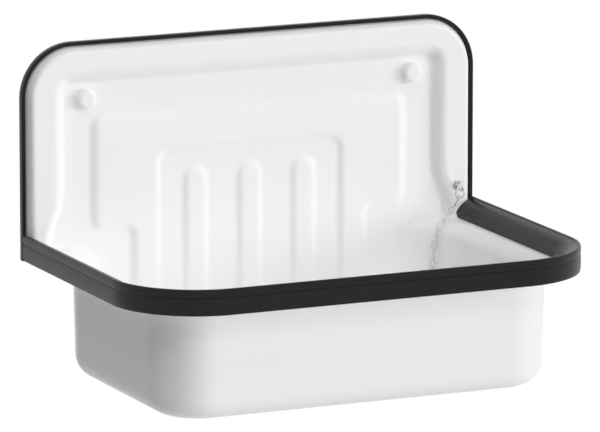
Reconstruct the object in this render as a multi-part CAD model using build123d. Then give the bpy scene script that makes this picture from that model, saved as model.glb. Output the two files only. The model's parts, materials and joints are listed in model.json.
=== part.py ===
from build123d import *
import os
from math import asin, atan, atan2, cos, degrees, radians, sin, sqrt, tan

# A wall-hung utility sink: bowl and splashback pressed from one enamelled steel sheet.
# All lengths are in millimetres. The shapes are drawn with z = 0 at the top edge of the rim
# profile and y = 0 at the wall, the bowl on the -Y side. frame_of_part then moves each piece down,
# so that the origin ends up midway between the two wall fixings, on the wall.

# Overall sizes
WIDTH = 510.0
DEPTH = 333.0
SPLASH_TOP = 196.5
BOWL_UNDERSIDE = -143.5

# Enamelled sheet
SHEET = 1.8
BORDER_FRONT = 14.5
RECESS_DEPTH = 12.0
FIELD_FRONT = BORDER_FRONT - RECESS_DEPTH
EDGE_ROLL = 7.5
LIP_BACK = 1.4

# Bowl
FLANGE_TOP = -20.3
WALL_INSET = 38.8
RIM_CORNER = 92.5
REAR_CORNER = 61.0
DRAFT = 0.024
FLOOR_RADIUS = 21.0
FLARE_RADIUS = 16.0
FLANGE_INSET = 2.6

# Recess of the splashback and how it widens towards the rim
RECESS_HALF = 219.5
RECESS_TOP = 165.0
RECESS_CORNER = 19.0
RECESS_RUN = 10.0
RECESS_FOOT_HALF = 232.7
FLARE_START = 29.5
FLARE_END = 1.3
FLARE_BEND = 66.0

# Raised T-shaped plateau, the recessed panel in it and the three ribs in that
PLATEAU_RISE = 6.5
PLATEAU_RUN = 7.0
PLATEAU_HALF = 178.5
PLATEAU_TOP = 117.0
PLATEAU_FOOT = -3.5
PLATEAU_CORNER = 14.0
STEM_HALF = 134.0
PANEL_HALF = 106.5
PANEL_TOP = 79.0
PANEL_CORNER = 17.0
PANEL_DEPTH = 5.0
PANEL_RUN = 6.0
RIB_COUNT = 3
RIB_PITCH = 61.0
RIB_WIDTH = 29.0
RIB_TOP = 57.0
RIB_RISE = 4.5
RIB_RUN = 5.0
PRESSED_EDGE = 3.0

# Wall fixings
FIXING_SPACING = 368.0
FIXING_HEIGHT = 136.5
FIXING_BORE = 10.5
COLLAR_SLEEVE = 15.6
COLLAR_FLANGE = 27.0
COLLAR_THICK = 3.0
CAP_DIAMETER = 32.0
CAP_HEIGHT = 13.0
CAP_WALL = 1.6
CAP_TOP_FLAT = 12.0
CAP_DOME_RADIUS = 12.0
CAP_SKIRT = 0.6
CAP_FACETS = 7
COLLAR_BACK_GAP = 0.4
COLLAR_BEVEL = 0.8
CAP_GRIP_DROP = 1.0
FIT_GAP = 0.1

# Black strip on the edge of the splashback
STRIP_WIDTH = 5.7
STRIP_DEPTH = 7.0
STRIP_CORNER = 56.0
STRIP_BASE = 1.2
STRIP_LEG = 1.8
STRIP_LEG_HEIGHT = 5.0
STRIP_ROUND = 1.4

# Black profile on the rim of the bowl
RIM_FACE = 25.5
RIM_WALL = 2.4
RIM_GROOVE_DROP = 9.0
RIM_GROOVE = 1.0
RIM_BEAD = 3.6
RIM_BEAD_ROUND = 1.2
RIM_FOOT_ROUND = 0.8
RIM_CROWN_RADIUS = 25.0
RIM_CROWN_START = (4.8, -1.2)
RIM_CROWN_END = (22.3, -14.2)
RIM_LIP_INSET = RIM_CROWN_END[0]
RIM_HOOK = 7.0
RIM_WEB_INSET = 10.5
RIM_WEB = 1.4
RIM_END_GAP = 0.2

# Eye bolt of the chain, on the border at the right
EYE_X = 232.7
EYE_Z = 15.0
EYE_HOLE = 6.4
EYE_SHANK = 5.8
EYE_LOOP = 7.0
EYE_WIRE = 2.4
EYE_NECK = 5.0
EYE_NECK_WIRE = 3.2
EYE_SHANK_END = 2.0
ROSETTE = 11.0
ROSETTE_THICK = 1.2
SEAL_THICK = 1.5
NUT_ACROSS_FLATS = 10.0
NUT_THICK = 4.5

# Chain: links with a loop at each end and a twisted waist, and the rings at its ends
CHAIN_WIRE = 1.5
LINK_PITCH = 21.5
LOOP_RADIUS = 2.6
WAIST_LENGTH = 5.0
WAIST_DIAMETER = 3.2
CHAIN_PLAY = 0.2
CHAIN_SIDES = 4
WIRE_SIDES = 8
CHAIN_LIE = 3.4
CHAIN_LEAD = 6.0
ANCHOR_PULL = Vector(-0.35, 0, -1).normalized()
PLUG_PULL = Vector(1, 0, 0)
ANCHOR_TURN = Vector(1, 0, 0)
CHAIN_TURN = Vector(0.4, -0.6, 1.0)
TWISTED_LINKS = 4
RING_RADIUS = 5.0
RING_WIRE = 1.6

# Waste, in the floor of the bowl near the wall
WASTE_Y = -125.0
WASTE_HOLE = 52.0
DISH_DIAMETER = 76.0
DISH_DEPTH = 3.0
DISH_EDGE = 4.0
STRAINER_DIAMETER = 70.0
STRAINER_WALL = 1.5
STRAINER_BORE = 46.0
STRAINER_DROP = 10.0
STRAINER_SLOPE = 3.0
STRAINER_BEND = 2.0
STRAINER_HOLE = 6.0
STRAINER_HOLE_RING = 14.0
STRAINER_HOLES = 8
GASKET_THICK = 2.0
GASKET_INSET = 1.0
WASTE_FLANGE = 72.0
WASTE_FLANGE_THICK = 3.5
WASTE_FILLET = 4.0
WASTE_THREAD = 47.8
WASTE_THREAD_LENGTH = 14.0
WASTE_SHOULDER = 2.5
WASTE_BORE = 40.0
WASTE_MOUTH_GAP = 0.8
WASTE_TAIL = 25.0
BRIDGE_WIDTH = 7.0
BRIDGE_HEIGHT = 6.0
BRIDGE_RISE = 3.0
BRIDGE_HUB = 12.0
WASTE_SCREW = 6.0
WASTE_SCREW_END = 2.0
SCREW_HEAD = 12.0
SCREW_HEAD_HEIGHT = 3.0
SCREW_HEAD_BEVEL = 0.8
SCREW_SLOT = 1.6
SCREW_SLOT_DEPTH = 1.2

# Plug
PLUG_TOP = 54.0
PLUG_HEIGHT = 12.0
PLUG_LIP = 4.0
PLUG_LIP_GAP = 0.3
PLUG_BEVEL = 1.0
PLUG_TOP_BEVEL = 2.0
PLUG_TAPER = 2.0
PLUG_TAPER_START = 3.5
PLUG_WALL = 3.0
EYELET_SHANK = 4.0
EYELET_LENGTH = 9.0
EYELET_HEAD = 13.0
EYELET_HEAD_THICK = 1.6
EYELET_SINK = 0.3


def wall_plane(distance):
    """Plane parallel to the wall, a distance in front of it, seen from the front."""
    return Plane(origin=(0, -distance, 0), x_dir=(1, 0, 0), z_dir=(0, -1, 0))


def outline(corners):
    """Closed flat face through corners (across, up, rounding)."""
    points = [(across, up) for across, up, rounding in corners]
    radii = [rounding for across, up, rounding in corners]
    return make_face(FilletPolyline(*points, radius=radii, close=True))


def mirrored(right_corners):
    """Corners of the right half, from the top down, with the left half added."""
    left_corners = [(-across, up, rounding) for across, up, rounding in reversed(right_corners)]
    return right_corners + left_corners


def pressed(face, start, rise, run, edge):
    """Pad with sloping sides on a face, or a hollow where the rise is negative."""
    slope = degrees(atan2(run, abs(rise)))
    toward = (0, -1, 0) if rise > 0 else (0, 1, 0)
    pad = extrude(wall_plane(start) * face, abs(rise), dir=toward, taper=slope)
    if edge == 0:
        return pad
    far_edges = pad.faces().sort_by(Axis.Y)[0 if rise > 0 else -1].edges()
    return fillet(far_edges, edge)


def recess_face():
    return outline(mirrored([
        (RECESS_HALF, RECESS_TOP, RECESS_CORNER),
        (RECESS_HALF, FLARE_START, FLARE_BEND),
        (RECESS_FOOT_HALF, FLARE_END, FLARE_BEND),
        (RECESS_FOOT_HALF, 2 * BOWL_UNDERSIDE, 0),
    ]))


def plateau_face():
    return outline(mirrored([
        (PLATEAU_HALF, PLATEAU_TOP, PLATEAU_CORNER),
        (PLATEAU_HALF, PLATEAU_FOOT, PLATEAU_CORNER),
        (STEM_HALF, PLATEAU_FOOT, PLATEAU_CORNER / 2),
        (STEM_HALF, 2 * BOWL_UNDERSIDE, 0),
    ]))


def panel_face():
    return outline(mirrored([
        (PANEL_HALF, PANEL_TOP, PANEL_CORNER),
        (PANEL_HALF, 2 * BOWL_UNDERSIDE, 0),
    ]))


def rib_face(centre):
    half = RIB_WIDTH / 2
    return outline([
        (centre + half, RIB_TOP, half - 1),
        (centre + half, 2 * BOWL_UNDERSIDE, 0),
        (centre - half, 2 * BOWL_UNDERSIDE, 0),
        (centre - half, RIB_TOP, half - 1),
    ])


def splash_body(back, edge=0):
    """Everything behind the pressed front surface, set back by a distance."""
    half = WIDTH / 2 - STRIP_WIDTH - back
    top = SPLASH_TOP - STRIP_WIDTH - back
    corner = STRIP_CORNER - STRIP_WIDTH - back
    border = BORDER_FRONT - back
    behind_wall = 30.0
    face = outline(mirrored([(half, top, corner), (half, 2 * BOWL_UNDERSIDE, 0)]))
    body = extrude(wall_plane(-behind_wall) * face, behind_wall + border, dir=(0, -1, 0))
    front = body.faces().sort_by(Axis.Y)[0]
    rolled = [line for line in front.edges() if line.center().Z > 2 * BOWL_UNDERSIDE + 1]
    body = fillet(rolled, EDGE_ROLL - back)
    body -= pressed(recess_face(), border, -RECESS_DEPTH, RECESS_RUN, edge)
    field = FIELD_FRONT - back
    plateau = field + PLATEAU_RISE
    body += pressed(plateau_face(), field, PLATEAU_RISE, PLATEAU_RUN, edge)
    body -= pressed(panel_face(), plateau, -PANEL_DEPTH, PANEL_RUN, edge)
    panel = plateau - PANEL_DEPTH
    for number in range(RIB_COUNT):
        centre = (number - (RIB_COUNT - 1) / 2) * RIB_PITCH
        body += pressed(rib_face(centre), panel, RIB_RISE, RIB_RUN, edge / 2)
    return body


def bowl_space(grow):
    """Space above the flange and inside the bowl's wall, grown by the sheet's thickness."""
    top = FLANGE_TOP - grow
    side = WIDTH / 2 - WALL_INSET + grow
    front = -(DEPTH - WALL_INSET + grow)
    rear = -FIELD_FRONT + grow
    plan = outline([
        (side, rear, REAR_CORNER + grow),
        (side, front, RIM_CORNER - WALL_INSET + grow),
        (-side, front, RIM_CORNER - WALL_INSET + grow),
        (-side, rear, REAR_CORNER + grow),
    ])
    floor = BOWL_UNDERSIDE + SHEET - grow
    bowl = extrude(Pos(0, 0, top) * plan, top - floor, dir=(0, 0, -1), taper=degrees(atan(DRAFT)))
    bowl = fillet(bowl.faces().sort_by(Axis.Z)[0].edges(), FLOOR_RADIUS + grow)
    above = 40.0
    reach = 2 * WIDTH
    bowl += Pos(0, 0, top + above / 2) * Box(reach, reach, above)
    loop = [edge for edge in bowl.edges()
            if abs(edge.center().Z - top) < 0.01 and abs(edge.center().X) < WIDTH / 2
            and abs(edge.center().Y) < DEPTH]
    bowl = fillet(loop, FLARE_RADIUS - grow)
    dish_foot = DISH_DIAMETER / 2 + grow
    dish_brim = dish_foot + DISH_EDGE
    dish = waste_place(floor) * revolve_profile([
        (0, SHEET), (dish_brim, SHEET), (dish_brim, 0), (dish_foot, -DISH_DEPTH), (0, -DISH_DEPTH),
    ])
    return bowl + dish


def waste_place(height):
    return Pos(0, WASTE_Y, height)


def revolve_profile(points):
    """Solid of revolution about Z through (radius, height) points."""
    face = Plane.XZ * make_face(Polyline(*points, close=True))
    return revolve(face, Axis.Z)


def basin_shell():
    """One sheet: splashback, flange and bowl."""
    front_body = splash_body(0, PRESSED_EDGE)
    back_body = splash_body(SHEET)
    underside = FLANGE_TOP - SHEET
    above = Pos(0, 0, underside + WIDTH / 2) * Box(2 * WIDTH, 2 * DEPTH, WIDTH)
    in_front_of_lip_end = Pos(0, -LIP_BACK - DEPTH, 0) * Box(2 * WIDTH, 2 * DEPTH, 2 * WIDTH)
    splash = (front_body - back_body) & above & in_front_of_lip_end

    flange_half = WIDTH / 2 - FLANGE_INSET
    flange_front = -(DEPTH - FLANGE_INSET)
    flange_corner = RIM_CORNER - FLANGE_INSET
    column_face = outline([
        (flange_half, -STRIP_DEPTH - 1, 0),
        (flange_half, flange_front, flange_corner),
        (-flange_half, flange_front, flange_corner),
        (-flange_half, -STRIP_DEPTH - 1, 0),
    ])
    splash_half = WIDTH / 2 - STRIP_WIDTH
    rear_face = outline([
        (splash_half, -LIP_BACK, 0), (splash_half, -BORDER_FRONT, 0),
        (-splash_half, -BORDER_FRONT, 0), (-splash_half, -LIP_BACK, 0),
    ])
    column_height = -BOWL_UNDERSIDE + 20
    column = extrude(Pos(0, 0, FLANGE_TOP) * (column_face + rear_face), column_height,
                     dir=(0, 0, -1))
    outer = (bowl_space(SHEET) & column) - back_body
    inner = bowl_space(0) - front_body
    basin = outer + splash - inner
    for side in (-1, 1):
        place = Pos(side * FIXING_SPACING / 2, -FIELD_FRONT, FIXING_HEIGHT) * Rot(90, 0, 0)
        basin -= place * Cylinder(COLLAR_SLEEVE / 2 + FIT_GAP, 4 * SHEET)
    basin -= Pos(EYE_X, -BORDER_FRONT, EYE_Z) * Rot(90, 0, 0) * Cylinder(EYE_HOLE / 2, 4 * SHEET)
    basin -= waste_place(BOWL_UNDERSIDE) * Cylinder(WASTE_HOLE / 2, 8 * SHEET)
    return basin


def splash_edge_trim():
    """Black U strip, pushed on the sheet's turned edge from behind."""
    slot_near = STRIP_WIDTH - FIT_GAP
    slot_far = STRIP_WIDTH + SHEET + FIT_GAP
    section = outline([
        (0, 0, STRIP_ROUND / 2), (0, STRIP_DEPTH, STRIP_ROUND), (slot_near, STRIP_DEPTH, STRIP_ROUND / 4),
        (slot_near, STRIP_BASE, 0), (slot_far, STRIP_BASE, 0),
        (slot_far, STRIP_LEG_HEIGHT, STRIP_ROUND / 4),
        (slot_far + STRIP_LEG, STRIP_LEG_HEIGHT, STRIP_ROUND / 4), (slot_far + STRIP_LEG, 0, 0),
    ])
    start = Plane(origin=(-WIDTH / 2, 0, -RIM_FACE), x_dir=(1, 0, 0), z_dir=(0, 0, 1))
    path = FilletPolyline(
        (-WIDTH / 2, 0, -RIM_FACE), (-WIDTH / 2, 0, SPLASH_TOP),
        (WIDTH / 2, 0, SPLASH_TOP), (WIDTH / 2, 0, -RIM_FACE),
        radius=STRIP_CORNER)
    return sweep(start * (mirror(section, Plane.XZ)), path=path)


def closed_face(*lines):
    """Flat face bounded by lines given in order."""
    return make_face([edge for line in lines for edge in line.edges()])


def arc_centre(start, end, radius):
    """Centre of a convex arc that falls from start to end."""
    chord = Vector(*end) - Vector(*start)
    reach = sqrt(radius ** 2 - (chord.length / 2) ** 2)
    inward = Vector(chord.Y, -chord.X).normalized()
    return (Vector(*start) + Vector(*end)) / 2 + inward * reach


def crown_arc(drop):
    """Top curve of the rim profile, moved inward by a drop."""
    centre = arc_centre(RIM_CROWN_START, RIM_CROWN_END, RIM_CROWN_RADIUS)
    radius = RIM_CROWN_RADIUS - drop
    middle = (Vector(*RIM_CROWN_START) + Vector(*RIM_CROWN_END)) / 2
    points = [Vector(*RIM_CROWN_START), middle, Vector(*RIM_CROWN_END)]
    return ThreePointArc(*[centre + (point - centre).normalized() * radius for point in points])


def rim_section():
    """Section of the rim profile: inset from its outer face, height."""
    lip_end = FLANGE_TOP + FIT_GAP
    slot_floor = FLANGE_TOP - SHEET - FIT_GAP
    crown = crown_arc(0)
    silhouette = closed_face(
        Polyline(
            (RIM_LIP_INSET, RIM_CROWN_END[1]), (RIM_LIP_INSET, lip_end), (RIM_HOOK, lip_end),
            (RIM_HOOK, RIM_FOOT_ROUND - RIM_FACE), (RIM_HOOK - RIM_FOOT_ROUND, -RIM_FACE),
            (RIM_FOOT_ROUND, -RIM_FACE), (0, RIM_FOOT_ROUND - RIM_FACE),
            (0, -RIM_GROOVE_DROP - RIM_GROOVE), (RIM_GROOVE, -RIM_GROOVE_DROP),
            (0, -RIM_GROOVE_DROP + RIM_GROOVE), (0, -RIM_BEAD_ROUND)),
        RadiusArc((0, -RIM_BEAD_ROUND), (RIM_BEAD_ROUND, 0), RIM_BEAD_ROUND),
        Polyline((RIM_BEAD_ROUND, 0), (RIM_BEAD, 0), (RIM_BEAD + RIM_GROOVE / 2, -RIM_GROOVE),
                 RIM_CROWN_START),
        crown)
    under = crown_arc(RIM_WALL)
    hollow = closed_face(
        under,
        Polyline(under @ 1, (RIM_LIP_INSET - RIM_WALL, lip_end), (RIM_WALL, lip_end),
                 (RIM_WALL, (under @ 0).Y), under @ 0))
    slot = Pos((RIM_WALL + RIM_HOOK) / 2, (lip_end + slot_floor) / 2) * Rectangle(
        RIM_HOOK - RIM_WALL, lip_end - slot_floor)
    web = Pos(RIM_WEB_INSET, lip_end / 2) * Rectangle(RIM_WEB, -lip_end)
    return silhouette - hollow - slot + (web & hollow)


def rim_trim():
    """Black profile round three sides of the bowl, cut to the splashback at its ends."""
    start = Plane(origin=(-WIDTH / 2, 0, 0), x_dir=(1, 0, 0), z_dir=(0, -1, 0))
    path = FilletPolyline(
        (-WIDTH / 2, 0, 0), (-WIDTH / 2, -DEPTH, 0), (WIDTH / 2, -DEPTH, 0), (WIDTH / 2, 0, 0),
        radius=RIM_CORNER)
    trim = sweep(start * rim_section(), path=path)
    trim -= splash_body(-RIM_END_GAP)
    behind = STRIP_DEPTH + RIM_END_GAP
    trim -= Pos(0, -behind / 2, 0) * Box(2 * WIDTH, behind, 4 * RIM_FACE)
    return trim


def wire_ring(radius, wire):
    """Ring about the Z axis, of wire with a few flats."""
    section = Pos(radius, 0, 0) * Rot(90, 0, 0) * RegularPolygon(wire / 2, WIRE_SIDES)
    return revolve(section, Axis.Z)


def fixing_place(side):
    """Axis of a wall fixing, pointing away from the wall, from the front of the sheet."""
    return Pos(side * FIXING_SPACING / 2, -FIELD_FRONT, FIXING_HEIGHT) * Rot(90, 0, 0)


def fixing_collar(side):
    """Plastic collar that lines the hole in the sheet and spreads the screw's load."""
    bore = FIXING_BORE / 2
    flange = COLLAR_FLANGE / 2
    sleeve = COLLAR_SLEEVE / 2
    back = COLLAR_BACK_GAP - FIELD_FRONT
    profile = [
        (bore, back), (sleeve, back), (sleeve, 0), (flange, 0),
        (flange, COLLAR_THICK - COLLAR_BEVEL), (flange - COLLAR_BEVEL, COLLAR_THICK),
        (bore, COLLAR_THICK),
    ]
    return fixing_place(side) * revolve_profile(profile)


def dome_points(base, top, radius):
    """Points on the round side of the cover, from its skirt up to its flat top."""
    curve = RadiusArc((base, CAP_SKIRT), (CAP_TOP_FLAT / 2, top), -radius)
    points = [curve @ (number / CAP_FACETS) for number in range(CAP_FACETS + 1)]
    return [(point.X, point.Y) for point in points]


def cap_profile():
    """Section of the domed cover: radius, height above the sheet."""
    base = CAP_DIAMETER / 2
    inside = base - CAP_WALL
    ceiling = CAP_HEIGHT - CAP_WALL
    outer = dome_points(base, CAP_HEIGHT, CAP_DOME_RADIUS)
    inner = dome_points(inside, ceiling, CAP_DOME_RADIUS - CAP_WALL)
    inner.reverse()
    return [(base, 0)] + outer + [(0, CAP_HEIGHT), (0, ceiling)] + inner + [(inside, 0)]


def fixing_cap(side):
    """White domed cover that snaps over the collar's flange."""
    dome = revolve_profile(cap_profile())
    in_wall = (CAP_DIAMETER - CAP_WALL) / 2
    grip = COLLAR_FLANGE / 2 + FIT_GAP
    ring_top = COLLAR_THICK - CAP_GRIP_DROP
    ring = revolve_profile([(grip, 0), (in_wall, 0), (in_wall, ring_top), (grip, ring_top)])
    ring &= Cylinder(CAP_DIAMETER / 2, 2 * CAP_SKIRT) + Cylinder(CAP_DIAMETER / 2 - CAP_WALL, CAP_HEIGHT)
    return fixing_place(side) * (dome + ring)


def eye_place(distance):
    """Axis of the eye bolt, pointing away from the wall, a distance in front of the wall."""
    return Pos(EYE_X, -distance, EYE_Z) * Rot(90, 0, 0)


def disc(outer, bore, thick):
    """Washer standing on its own plane."""
    return revolve_profile([(bore / 2, 0), (outer / 2, 0), (outer / 2, thick), (bore / 2, thick)])


def chain_rosette():
    return eye_place(BORDER_FRONT) * disc(ROSETTE, EYE_SHANK + 2 * FIT_GAP, ROSETTE_THICK)


def eyebolt_seal():
    back = BORDER_FRONT - SHEET - SEAL_THICK
    return eye_place(back) * disc(ROSETTE, EYE_SHANK + 2 * FIT_GAP, SEAL_THICK)


def eyebolt_nut():
    back = BORDER_FRONT - SHEET - SEAL_THICK - NUT_THICK
    nut = extrude(RegularPolygon(NUT_ACROSS_FLATS / 2, 6, major_radius=False), NUT_THICK)
    nut -= Cylinder(EYE_SHANK / 2 + FIT_GAP, 4 * NUT_THICK)
    return eye_place(back) * nut


def chain_eyebolt():
    """Threaded shank with a closed eye in front of the rosette."""
    nut_back = BORDER_FRONT - SHEET - SEAL_THICK - NUT_THICK
    shank_back = nut_back - EYE_SHANK_END
    front = BORDER_FRONT + ROSETTE_THICK
    shank = eye_place(shank_back) * Pos(0, 0, (front - shank_back) / 2) * Cylinder(
        EYE_SHANK / 2, front - shank_back)
    length = EYE_NECK - EYE_WIRE / 2
    neck = eye_place(front) * Pos(0, 0, length / 2) * Cylinder(EYE_NECK_WIRE / 2, length)
    eye_centre = front + EYE_NECK + EYE_LOOP / 2
    eye = Pos(EYE_X, -eye_centre, EYE_Z) * Rot(0, 90, 0) * wire_ring(
        (EYE_LOOP + EYE_WIRE) / 2, EYE_WIRE)
    return shank + neck + eye


def waste_strainer():
    """Stainless dish in the floor's hollow, with its grid of holes and the plug's seat."""
    rim = STRAINER_DIAMETER / 2
    cup = STRAINER_BORE / 2
    floor = -STRAINER_DROP
    wall = STRAINER_WALL
    slope = STRAINER_SLOPE
    bend = STRAINER_BEND
    ease = wall * tan(radians(22.5))
    dish = revolve_profile([
        (0, floor), (cup - bend, floor), (cup, floor + bend), (cup, -slope), (cup + slope, 0), (rim, 0),
        (rim, wall), (cup + slope - ease, wall), (cup - wall, ease - slope),
        (cup - wall, floor + bend + ease), (cup - bend - ease, floor + wall), (0, floor + wall),
    ])
    for number in range(STRAINER_HOLES):
        turn = Rot(0, 0, number * 360 / STRAINER_HOLES)
        dish -= turn * Pos(STRAINER_HOLE_RING, 0, floor) * Cylinder(STRAINER_HOLE / 2, 4 * wall)
    dish -= Pos(0, 0, floor) * Cylinder(WASTE_SCREW / 2 + FIT_GAP, 4 * wall)
    return waste_place(strainer_seat()) * dish


def strainer_seat():
    """Height of the underside of the strainer's rim."""
    return BOWL_UNDERSIDE + SHEET - DISH_DEPTH + GASKET_THICK


def waste_gasket_upper():
    height = BOWL_UNDERSIDE + SHEET - DISH_DEPTH
    return waste_place(height) * disc(STRAINER_DIAMETER - 2 * GASKET_INSET, WASTE_HOLE, GASKET_THICK)


def body_top():
    """Height of the top of the waste body's flange."""
    return BOWL_UNDERSIDE - DISH_DEPTH - GASKET_THICK


def waste_gasket_lower():
    return waste_place(body_top()) * disc(WASTE_FLANGE - 2 * GASKET_INSET, WASTE_HOLE, GASKET_THICK)


def bridge_foot():
    """Height of the underside of the bridge over the lower end of the tail."""
    return body_top() - WASTE_TAIL + BRIDGE_RISE


def waste_body():
    """Tail under the bowl: flange, funnel, bridge for the screw and outside thread."""
    flange = WASTE_FLANGE / 2
    thread = WASTE_THREAD / 2
    shoulder = thread + WASTE_SHOULDER
    thread_top = WASTE_THREAD_LENGTH - WASTE_TAIL
    mouth = STRAINER_BORE / 2 + WASTE_MOUTH_GAP
    mouth_floor = strainer_seat() - STRAINER_DROP - WASTE_MOUTH_GAP - body_top()
    bore = WASTE_BORE / 2
    under_flange = -WASTE_FLANGE_THICK
    body = revolve_profile([
        (bore, -WASTE_TAIL), (thread, -WASTE_TAIL), (thread, thread_top),
        (shoulder, thread_top + WASTE_SHOULDER / 2), (shoulder, under_flange - WASTE_FILLET),
        (flange, under_flange), (flange, 0), (mouth, 0), (mouth, mouth_floor), (bore, thread_top),
    ])
    into_wall = 2.0
    bridge = Box(WASTE_BORE + into_wall, BRIDGE_WIDTH, BRIDGE_HEIGHT)
    hub = Cylinder(BRIDGE_HUB / 2, BRIDGE_HEIGHT)
    pilot = Cylinder(WASTE_SCREW / 2, 2 * BRIDGE_HEIGHT)
    middle = bridge_foot() + BRIDGE_HEIGHT / 2
    return waste_place(body_top()) * body + waste_place(middle) * (bridge + hub) - waste_place(middle) * pilot


def waste_screw():
    """Centre screw from the dish down into the bridge."""
    head_seat = strainer_seat() - STRAINER_DROP + STRAINER_WALL
    length = head_seat - bridge_foot() + WASTE_SCREW_END
    shank = Pos(0, 0, -length / 2) * Cylinder(WASTE_SCREW / 2, length)
    head = Pos(0, 0, SCREW_HEAD_HEIGHT / 2) * Cylinder(SCREW_HEAD / 2, SCREW_HEAD_HEIGHT)
    head = chamfer(head.edges().sort_by(Axis.Z)[-1], SCREW_HEAD_BEVEL)
    slot = Pos(0, 0, SCREW_HEAD_HEIGHT) * Box(SCREW_HEAD, SCREW_SLOT, 2 * SCREW_SLOT_DEPTH)
    return waste_place(head_seat) * (shank + head - slot)


def plug_seat():
    """Height of the top of the dish's rim, which the plug's lip lies over."""
    return strainer_seat() + STRAINER_WALL


def plug_body():
    """Tapered rubber plug, hollow below, with a lip over the rim of the dish."""
    top = PLUG_TOP / 2
    seat = STRAINER_BORE / 2 - STRAINER_WALL - FIT_GAP
    foot = seat - PLUG_TAPER
    hollow = foot - PLUG_WALL
    base = PLUG_LIP - PLUG_HEIGHT
    ceiling = PLUG_LIP - EYELET_LENGTH
    bore = EYELET_SHANK / 2 + FIT_GAP
    lip = PLUG_LIP_GAP
    plug = revolve_profile([
        (bore, ceiling), (hollow, ceiling), (hollow, base), (foot, base), (seat, -PLUG_TAPER_START),
        (seat, lip), (top - PLUG_BEVEL, lip), (top, lip + PLUG_BEVEL),
        (top - PLUG_TOP_BEVEL, PLUG_LIP), (bore, PLUG_LIP),
    ])
    return waste_place(plug_seat()) * plug


def plug_eyelet():
    """Metal eye with its washer head, set in the plug."""
    shank = EYELET_SHANK / 2
    head = EYELET_HEAD / 2
    foot = PLUG_LIP - EYELET_LENGTH
    top = PLUG_LIP + EYELET_HEAD_THICK
    stem = revolve_profile([
        (0, foot), (shank, foot), (shank, PLUG_LIP), (head, PLUG_LIP), (head, top), (0, top),
    ])
    eye = Pos(0, 0, plug_eye_height() - plug_seat()) * Rot(90, 0, 0) * wire_ring(
        (EYE_LOOP + EYE_WIRE) / 2, EYE_WIRE)
    return waste_place(plug_seat()) * (stem + eye)


def loop_path():
    """Centre line of a link's loop, from the waist round its tip and back."""
    tip = (LINK_PITCH + CHAIN_WIRE) / 2 + CHAIN_PLAY - LOOP_RADIUS
    root = WAIST_LENGTH / 2 - CHAIN_WIRE / 2
    reach = tip - root
    lean = asin((LOOP_RADIUS - CHAIN_WIRE / 2) / reach)
    side = LOOP_RADIUS * cos(lean)
    height = tip + LOOP_RADIUS * sin(lean)
    right = Line((CHAIN_WIRE / 2, root), (side, height))
    arc = ThreePointArc((side, height), (0, tip + LOOP_RADIUS), (-side, height))
    left = Line((-side, height), (-CHAIN_WIRE / 2, root))
    return Wire([right, arc, left])


def link_loop():
    """One teardrop loop above the waist, in the plane across the front."""
    path = Plane.XZ * loop_path()
    start = Plane(origin=path @ 0, z_dir=path % 0)
    section = RegularPolygon(CHAIN_WIRE / 2, CHAIN_SIDES)
    return sweep(start * section, path=path)


def chain_link():
    """Link with two loops a quarter turn apart and its waist, along the Z axis."""
    upper = link_loop()
    lower = Rot(0, 180, 0) * Rot(0, 0, 90) * link_loop()
    waist = extrude(RegularPolygon(WAIST_DIAMETER / 2, WIRE_SIDES), WAIST_LENGTH / 2, both=True)
    return upper + lower + waist


def chain_route():
    """Centre line of the chain, from the anchor ring to the ring of the plug."""
    inside_ring = RING_RADIUS - RING_WIRE / 2 - FIT_GAP
    anchor_end = anchor_ring_centre() + ANCHOR_PULL * inside_ring
    plug_end = plug_ring_centre() + PLUG_PULL * inside_ring
    floor = BOWL_UNDERSIDE + SHEET + CHAIN_LIE
    over_dish = floor + STRAINER_WALL
    points = [
        anchor_end, anchor_end + ANCHOR_PULL * CHAIN_LEAD,
        (222, -26, -9.5), (212.5, -28, -15), (204.5, -28.5, -24), (200.5, -28.5, -40),
        (198.5, -29, -64), (197.5, -30, -92), (195.5, -33, -117), (187, -42, floor + 5),
        (170, -54, floor), (146, -76, floor), (118, -84, floor), (90, -104, floor),
        (62, -119, floor), (40, -125, over_dish), plug_end + PLUG_PULL * CHAIN_LEAD, plug_end,
    ]
    return Spline(*points)


def chain_stations():
    """Points a link apart along the route."""
    route = chain_route()
    count = round(route.length / LINK_PITCH)
    return [route @ (number / count) for number in range(count + 1)]


def plug_chain():
    """Links from the anchor ring to the plug's ring, hooked one in the next."""
    link = chain_link()
    stations = chain_stations()
    links = []
    for number, (start, end) in enumerate(zip(stations, stations[1:])):
        along = (end - start).normalized()
        twist = min(1, number / TWISTED_LINKS)
        turn = ANCHOR_TURN * (1 - twist) + CHAIN_TURN * twist
        across = turn - along * turn.dot(along)
        place = Plane(origin=(start + end) / 2, x_dir=across, z_dir=along)
        links.append(place.location * link)
    return Compound(children=links)


def anchor_ring_centre():
    """The ring hangs in the eye, turned to the pull of the chain."""
    eye_bottom = EYE_Z - (EYE_LOOP + EYE_WIRE) / 2
    eye_centre = BORDER_FRONT + ROSETTE_THICK + EYE_NECK + EYE_LOOP / 2
    hang = RING_RADIUS - (EYE_WIRE + RING_WIRE) / 2 - FIT_GAP
    return Vector(EYE_X, -eye_centre, eye_bottom) + ANCHOR_PULL * hang


def chain_anchor_ring():
    """Ring that hangs in the eye of the bolt."""
    return Pos(anchor_ring_centre()) * Rot(90, 0, 0) * wire_ring(RING_RADIUS, RING_WIRE)


def plug_eye_height():
    return plug_seat() + PLUG_LIP + EYELET_HEAD_THICK + (EYE_LOOP + EYE_WIRE) / 2 - EYELET_SINK


def plug_ring_centre():
    inside_eye = (EYE_LOOP - RING_WIRE) / 2 - FIT_GAP
    drop = EYE_LOOP / 4
    reach = sqrt(inside_eye ** 2 - drop ** 2) + RING_RADIUS
    return Vector(reach, WASTE_Y, plug_eye_height() - drop)


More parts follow.
